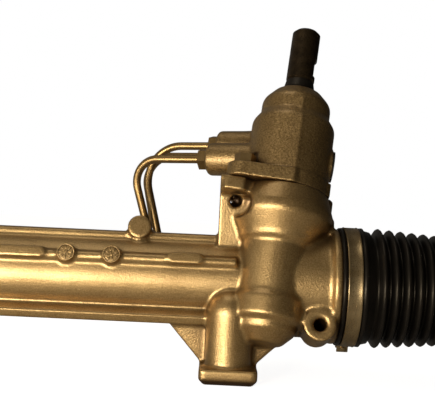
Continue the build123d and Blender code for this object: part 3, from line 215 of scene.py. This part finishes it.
# %% A cast skin over a copy of a node
def new_piece(name, mesh, finish_slot):
    piece = bpy.data.objects.new(name, mesh)
    bpy.context.scene.collection.objects.link(piece)
    mesh.materials.clear()
    mesh.materials.append(finishes[finish_slot])
    return piece


def settle(piece):
    """Turn the piece's modifiers into its mesh."""
    bpy.context.view_layer.update()
    shown = piece.evaluated_get(bpy.context.evaluated_depsgraph_get())
    mesh = bpy.data.meshes.new_from_object(shown)
    piece.modifiers.clear()
    old = piece.data
    piece.data = mesh
    bpy.data.meshes.remove(old)


def skin(piece, voxel):
    remesh = piece.modifiers.new("skin", "REMESH")
    remesh.mode = "VOXEL"
    remesh.voxel_size = voxel


def swell(piece, distance):
    push = piece.modifiers.new("swell", "DISPLACE")
    push.direction = "NORMAL"
    push.mid_level = 0
    push.strength = distance


def cast_piece(name, node, voxel, fillet, rounds, most):
    """A rounded copy of a node, with at most so many triangles."""
    mesh = bpy.data.meshes.new(name)
    shell = bmesh.new()
    shell.from_mesh(frame["nodes"][node].data)
    bmesh.ops.remove_doubles(shell, verts=shell.verts, dist=2e-6)
    shell.to_mesh(mesh)
    shell.free()
    piece = new_piece(name, mesh, node_slot[node])
    skin(piece, voxel)
    swell(piece, fillet)
    skin(piece, voxel)
    swell(piece, -fillet)
    skin(piece, voxel)
    soften = piece.modifiers.new("soften", "SMOOTH")
    soften.factor = 0.5
    soften.iterations = rounds
    settle(piece)
    triangles = 2 * len(piece.data.polygons)
    if triangles > most:
        thin = piece.modifiers.new("thin", "DECIMATE")
        thin.ratio = most / triangles
        settle(piece)
    piece.data.shade_smooth()
    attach(piece, "housing")
    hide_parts(node)
    print(name, triangles, "->", len(piece.data.polygons))
    return piece


cast_piece("rack_housing_casting", "rack_housing", 0.8 * MM, 1.3 * MM, 2, 195000)
tower_skin = cast_piece("valve_housing_casting", "valve_housing", 0.55 * MM, 0.8 * MM, 1, 170000)
# The valve housing wears the darker copy of the bronze, as painted shade.
tower_skin.data.materials[0] = tower_bronze_shaded


# %% [markdown]
# Round pieces on the rack's axis are drawn as half an outline, the distance along the axis against
# the radius, and spun. A closed outline gives a closed piece with a wall of its own.

# %% Spin an outline about the rack's axis
def spun(name, outline, finish_slot, steps=72):
    """Spin a closed outline of (x, radius) points about the rack's axis."""
    centre = (0.0, AXIS_Y, AXIS_Z)
    shape = bmesh.new()
    points = [shape.verts.new((x, centre[1], centre[2] + r)) for x, r in outline]
    for start, end in zip(points, points[1:] + points[:1]):
        shape.edges.new((start, end))
    bmesh.ops.spin(shape, geom=shape.verts[:] + shape.edges[:], cent=centre, axis=(1, 0, 0),
                   angle=tau, steps=steps, use_merge=True)
    bmesh.ops.remove_doubles(shape, verts=shape.verts, dist=1e-7)
    bmesh.ops.recalc_face_normals(shape, faces=shape.faces)
    mesh = bpy.data.meshes.new(name)
    shape.to_mesh(mesh)
    shape.free()
    mesh.shade_smooth()
    return new_piece(name, mesh, finish_slot)


# %% [markdown]
# The bellows keep dirt out of the ball joints. One end is clamped to the housing, the other to the
# tie rod, and between them the folds close up as the rack goes in. Each is cut into three lengths,
# because a bending piece can follow two bodies only: from the housing to the rack, then round the
# ball joint's two swings. The cuts are in the bottom of a fold, where no one sees them.

# %% Shape of the bellows
CUFF_R = 40.4 * MM
FOLD_PITCH = 8.0 * MM
FOLD_DEPTH = 6.6 * MM
RUBBER = 1.5 * MM
FIRST_FOLD = 9.0 * MM
LAST_FOLD = FIRST_FOLD + 20 * FOLD_PITCH
FOLD_STEPS = 8


def crest_radius(out):
    """How far the folds reach, out being the distance from the end of the housing."""
    if out < 50 * MM:
        return 41.8 * MM - 3.0 * MM * max(0.0, out - 9 * MM) / (41 * MM)
    if out < 150 * MM:
        return 38.8 * MM - 8.5 * MM * (out - 50 * MM) / (100 * MM)
    return 30.3 * MM - 12.0 * MM * (out - 150 * MM) / (20 * MM)


def fold_line(start, end):
    """Points (out, radius) of the folds from one fold bottom to another."""
    count = round((end - start) / FOLD_PITCH)
    points = []
    for k in range(count * FOLD_STEPS + 1):
        phase = k / FOLD_STEPS
        out = start + phase * FOLD_PITCH
        rise = (0.5 - 0.5 * cos(tau * phase)) ** 0.55
        points.append((out, crest_radius(out) - FOLD_DEPTH * (1 - rise)))
    return points


def sleeve(name, line, end, outward):
    """A rubber sleeve under a line of (out, radius) points."""
    outline = line + [(out, r - RUBBER) for out, r in reversed(line)]
    return spun(name, [(end + outward * out, r) for out, r in outline], "black_rubber", steps=80)


# %% [markdown]
# The first length starts with the cuff, which has a lip at each side of the clamp's seat. The last
# one ends in the small cuff that grips the tie rod.

# %% The two bellows
FIRST_CUT = FIRST_FOLD + 13 * FOLD_PITCH
SECOND_CUT = FIRST_FOLD + 15 * FOLD_PITCH
large_cuff = [(-14.8 * MM, CUFF_R - 1.0 * MM), (-14.4 * MM, CUFF_R + 0.5 * MM),
              (-12.9 * MM, CUFF_R + 0.7 * MM), (-12.3 * MM, CUFF_R), (-1.0 * MM, CUFF_R),
              (-0.4 * MM, CUFF_R + 0.9 * MM), (1.4 * MM, CUFF_R + 1.0 * MM),
              (2.2 * MM, CUFF_R - 0.6 * MM), (6.5 * MM, CUFF_R - 1.6 * MM)]
small_cuff = [(LAST_FOLD + 3 * MM, 11.8 * MM), (LAST_FOLD + 6 * MM, 11.5 * MM), (182 * MM, 11.5 * MM),
              (183 * MM, 12.4 * MM), (193 * MM, 12.4 * MM), (194 * MM, 11.5 * MM)]
bellows = {}
for where in ("right", "left"):
    end, outward = HOUSING_END[where], OUTWARD[where]
    outer = sleeve(f"bellows_folds_{where}", large_cuff + fold_line(FIRST_FOLD, FIRST_CUT), end, outward)
    middle = sleeve(f"bellows_bend_{where}", fold_line(FIRST_CUT, SECOND_CUT), end, outward)
    last = sleeve(f"bellows_tail_{where}", fold_line(SECOND_CUT, LAST_FOLD) + small_cuff, end, outward)
    bellows[where] = (outer, middle, last)
    print(where, "bellows", [len(piece.data.polygons) for piece in bellows[where]])


# %% [markdown]
# Each length has its placement baked into its mesh, and the construction model's own bellows are hidden.


for where, (outer, middle, last) in bellows.items():
    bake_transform(outer)
    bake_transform(middle)
    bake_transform(last)
    for piece in (outer, middle, last):
        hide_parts(f"bellows_{where}")
    print(where, "bellows blend")

# %% [markdown]
# The large cuff is held by a flat steel band whose ends are drawn together by a screw in two ears.
# The band is a spun strip with rolled edges. The ears are boxes whose corners are bevelled, and the
# screw is a short cylinder with a six-sided head. Seen from the front they hang below the band.

# %% Large clamps
def block(shape, size, centre, turn, round_by=0.0004):
    """A box with rounded corners, turned and placed, added to a bmesh."""
    made = bmesh.ops.create_cube(shape, size=1.0)["verts"]
    bmesh.ops.scale(shape, verts=made, vec=size)
    edges = list({edge for vert in made for edge in vert.link_edges})
    rounded = bmesh.ops.bevel(shape, geom=edges, offset=round_by, affect="EDGES", segments=2,
                              profile=0.5, material=-1)
    verts = {vert for face in rounded["faces"] for vert in face.verts}
    verts = list(verts | {vert for vert in made if vert.is_valid})
    bmesh.ops.transform(shape, matrix=turn, verts=verts)
    bmesh.ops.translate(shape, vec=centre, verts=verts)


def bar(shape, radius, length, matrix, sides=24):
    """A round bar along z with softened rims, moved by a matrix, added to a bmesh."""
    made = bmesh.ops.create_cone(shape, cap_ends=True, segments=sides, radius1=radius, radius2=radius,
                                 depth=length)["verts"]
    edges = {edge for vert in made for edge in vert.link_edges}
    rims = [edge for edge in edges if len({round(vert.co.z, 6) for vert in edge.verts}) == 1]
    rounded = bmesh.ops.bevel(shape, geom=rims, offset=radius * 0.12, affect="EDGES", segments=2,
                              profile=0.5, material=-1)
    verts = {vert for face in rounded["faces"] for vert in face.verts}
    verts = list(verts | {vert for vert in made if vert.is_valid})
    bmesh.ops.transform(shape, matrix=matrix, verts=verts)


def finished(name, shape, finish_slot):
    """A piece from a bmesh."""
    bmesh.ops.recalc_face_normals(shape, faces=shape.faces)
    mesh = bpy.data.meshes.new(name)
    shape.to_mesh(mesh)
    shape.free()
    mesh.shade_smooth()
    mesh.set_sharp_from_angle(angle=radians(35))
    return new_piece(name, mesh, finish_slot)


BAND_LOW, BAND_HIGH = -11.5 * MM, -1.7 * MM
BAND_R = 41.7 * MM
EAR_ANGLE = radians(72)
for where in ("right", "left"):
    end, outward = HOUSING_END[where], OUTWARD[where]
    profile = [(BAND_LOW, CUFF_R), (BAND_LOW, BAND_R - 0.2 * MM), (BAND_LOW + 0.5 * MM, BAND_R),
               (BAND_LOW + 1.2 * MM, BAND_R - 0.3 * MM), (BAND_HIGH - 1.2 * MM, BAND_R - 0.3 * MM),
               (BAND_HIGH - 0.5 * MM, BAND_R), (BAND_HIGH, BAND_R - 0.2 * MM), (BAND_HIGH, CUFF_R)]
    band = spun(f"clamp_band_{where}", [(end + outward * x, r) for x, r in profile], "clamp_band")
    ears = bmesh.new()
    down = Vector((0, cos(EAR_ANGLE), -sin(EAR_ANGLE)))
    along = Vector((0, sin(EAR_ANGLE), cos(EAR_ANGLE)))
    middle = Vector((end + outward * (BAND_LOW + BAND_HIGH) / 2, AXIS_Y, AXIS_Z))
    turn = Matrix(((1, 0, 0), tuple(along), tuple(-down))).transposed()
    for shift in (-3.2, 3.2):
        ear = middle + down * (BAND_R + 3.2 * MM) + along * shift * MM
        block(ears, (8.2 * MM, 1.4 * MM, 8.0 * MM), ear, turn)
    screw = along.to_track_quat("Z", "X").to_matrix().to_4x4()
    screw.translation = middle + down * (BAND_R + 4.0 * MM)
    bar(ears, 1.6 * MM, 13.0 * MM, screw)
    bar(ears, 3.0 * MM, 2.6 * MM, screw @ Matrix.Translation((0, 0, 5.6 * MM)), sides=6)
    lugs = finished(f"clamp_ears_{where}", ears, "clamp_band")
    for piece in (band, lugs):
        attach(piece, "housing")
        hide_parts(f"large_clamp_{where}")
    print(where, "clamp", len(band.data.polygons), len(lugs.data.polygons))

# %% [markdown]
# Two round date discs stand on the front rib. A foundry turns such an insert by hand, so the real
# ones carry a dial. Here they have a plain rim and radial ticks, with no figures.

# %% Date discs
RIB_R, RIB_ANGLE = 31.4 * MM, radians(32)
RIB_CREST = Vector((0, AXIS_Y - RIB_R * cos(RIB_ANGLE), AXIS_Z + RIB_R * sin(RIB_ANGLE)))
for number, x in enumerate((-112.0 * MM, -81.4 * MM)):
    dial = bmesh.new()
    seat = Matrix((Vector((1, 0, 0)), front.cross(Vector((1, 0, 0))), front)).transposed().to_4x4()
    seat.translation = RIB_CREST + Vector((x, 0, 0)) + front * 2.0 * MM
    for k in range(8):
        angle = tau * k / 8 + 0.3 * number
        place = seat @ Matrix.Rotation(angle, 4, "Z") @ Matrix.Translation((3.4 * MM, 0, 0.1 * MM))
        block(dial, (2.4 * MM, 0.7 * MM, 0.8 * MM), place.translation, place.to_3x3(), 0.00015)
    pointer = seat @ Matrix.Rotation(0.9 + number, 4, "Z") @ Matrix.Translation((0, 0, 0.15 * MM))
    block(dial, (3.2 * MM, 0.9 * MM, 0.9 * MM), pointer.translation, pointer.to_3x3(), 0.00015)
    for k in range(28):
        place = seat @ Matrix.Rotation(tau * k / 28, 4, "Z") @ Matrix.Translation((5.5 * MM, 0, 0.1 * MM))
        block(dial, (0.7 * MM, 1.4 * MM, 0.8 * MM), place.translation, place.to_3x3(), 0.00015)
    disc = finished(f"date_dial_{number + 1}", dial, "cast_housing")
    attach(disc, "housing")
    print(disc.name, len(disc.data.polygons))

# %% [markdown]
# The floor is pale and the background is white. The white comes from Is Camera Ray in the world and
# the floor, not from more light on the metal. What the metal reflects is a dim warm room, brighter to
# the left and darker to the right, as in a small studio, which gives the coat its deep browns.

# %% World
world = bpy.data.worlds.new("studio")
bpy.context.scene.world = world
world.use_nodes = True
nodes, links = world.node_tree.nodes, world.node_tree.links
nodes.clear()
output = nodes.new("ShaderNodeOutputWorld")
ray = nodes.new("ShaderNodeLightPath")
direction = nodes.new("ShaderNodeTexCoord")
split = nodes.new("ShaderNodeSeparateXYZ")
links.new(direction.outputs["Generated"], split.inputs["Vector"])
depth = nodes.new("ShaderNodeMapRange")
depth.inputs["From Min"].default_value = -0.8
depth.inputs["From Max"].default_value = 0.8
depth.inputs["To Min"].default_value = 0.20
depth.inputs["To Max"].default_value = 0.01
links.new(split.outputs["X"], depth.inputs["Value"])
seen = nodes.new("ShaderNodeBackground")
seen.inputs["Color"].default_value = (1, 1, 1, 1)
room = nodes.new("ShaderNodeBackground")
room.inputs["Color"].default_value = (1.0, 0.93, 0.82, 1)
links.new(depth.outputs["Result"], room.inputs["Strength"])
through = nodes.new("ShaderNodeMath")
through.operation = "MAXIMUM"
links.new(ray.outputs["Is Camera Ray"], through.inputs[0])
links.new(ray.outputs["Is Transmission Ray"], through.inputs[1])
mix = nodes.new("ShaderNodeMixShader")
links.new(through.outputs[0], mix.inputs["Fac"])
links.new(room.outputs["Background"], mix.inputs[1])
links.new(seen.outputs["Background"], mix.inputs[2])
links.new(mix.outputs["Shader"], output.inputs["Surface"])
print("world", world.name)

# %% [markdown]
# The floor takes the object's shadow. To the camera it also glows a little, which makes it white.

# %% Floor
floor_shape = bmesh.new()
bmesh.ops.create_grid(floor_shape, x_segments=1, y_segments=1, size=4.0)
floor_mesh = bpy.data.meshes.new("floor")
floor_shape.to_mesh(floor_mesh)
floor_shape.free()
floor = bpy.data.objects.new("floor", floor_mesh)
bpy.context.scene.collection.objects.link(floor)
pale = bpy.data.materials.new("pale_floor")
pale.use_nodes = True
nodes, links = pale.node_tree.nodes, pale.node_tree.links
paint = nodes["Principled BSDF"]
paint.inputs["Base Color"].default_value = (0.80, 0.79, 0.77, 1)
paint.inputs["Roughness"].default_value = 0.9
paint.inputs["Specular IOR Level"].default_value = 0.0
ray = nodes.new("ShaderNodeLightPath")
lift = nodes.new("ShaderNodeMath")
lift.operation = "MULTIPLY"
lift.inputs[1].default_value = 0.92
links.new(ray.outputs["Is Camera Ray"], lift.inputs[0])
links.new(lift.outputs[0], paint.inputs["Emission Strength"])
paint.inputs["Emission Color"].default_value = (1, 1, 1, 1)
floor_mesh.materials.append(pale)
print("floor", floor.name)

# %% [markdown]
# The main light is wide and low on the front left, and lights the undersides of the ribs as well.
# A small flash beside the camera gives the sharp highlights. A weak one hangs above, and a weak one
# near the floor stands for the light that a white table throws back under the tube.

# %% Lamps
def lamp(name, place, aim, size, watts, colour):
    light = bpy.data.lights.new(name, "AREA")
    light.shape = "RECTANGLE"
    light.size, light.size_y = size
    light.energy = watts
    light.color = colour
    lamp_object = bpy.data.objects.new(name, light)
    lamp_object.location = place
    lamp_object.rotation_euler = (Vector(aim) - Vector(place)).to_track_quat("-Z", "Y").to_euler()
    lamp_object.visible_camera = False
    bpy.context.scene.collection.objects.link(lamp_object)
    print("lamp", name, watts)


lamp("front", (-0.80, -1.05, 0.06), (0, 0, 0.08), (0.8, 0.10), 10, (1.0, 0.96, 0.88))
lamp("low", (-0.30, -0.42, 0.01), (-0.05, 0.0, 0.07), (0.7, 0.08), 2.0, (1.0, 0.95, 0.86))
lamp("flash", (-0.45, -1.05, 0.12), (0, 0, 0.08), (0.13, 0.13), 4.5, (1.0, 0.97, 0.90))
lamp("top", (-0.20, -0.05, 1.05), (0, 0, 0.08), (0.5, 0.4), 1.1, (1.0, 0.96, 0.88))

# %% [markdown]
# The camera stands in front at about the height of the valve housing and is rolled 2.65 degrees,
# so the long tube runs slightly downhill.

# %% Camera
SENSOR_WIDTH = 36.0
LENS_TO_WIDTH = 914 / 435
roll = radians(2.65)
camera_data = bpy.data.cameras.new("camera")
camera_data.sensor_width = SENSOR_WIDTH
camera_data.lens = SENSOR_WIDTH * LENS_TO_WIDTH
camera_data.clip_start = 0.01
camera = bpy.data.objects.new("camera", camera_data)
camera.matrix_world = Matrix(((cos(roll), -sin(roll), 0, -12.1 * MM), (0, 0, -1, -615 * MM),
                              (sin(roll), cos(roll), 0, 121.6 * MM), (0, 0, 0, 1)))
bpy.context.scene.collection.objects.link(camera)
bpy.context.scene.camera = camera
bpy.context.scene.view_settings.view_transform = "Standard"
print("camera", [round(v, 4) for v in camera.location])
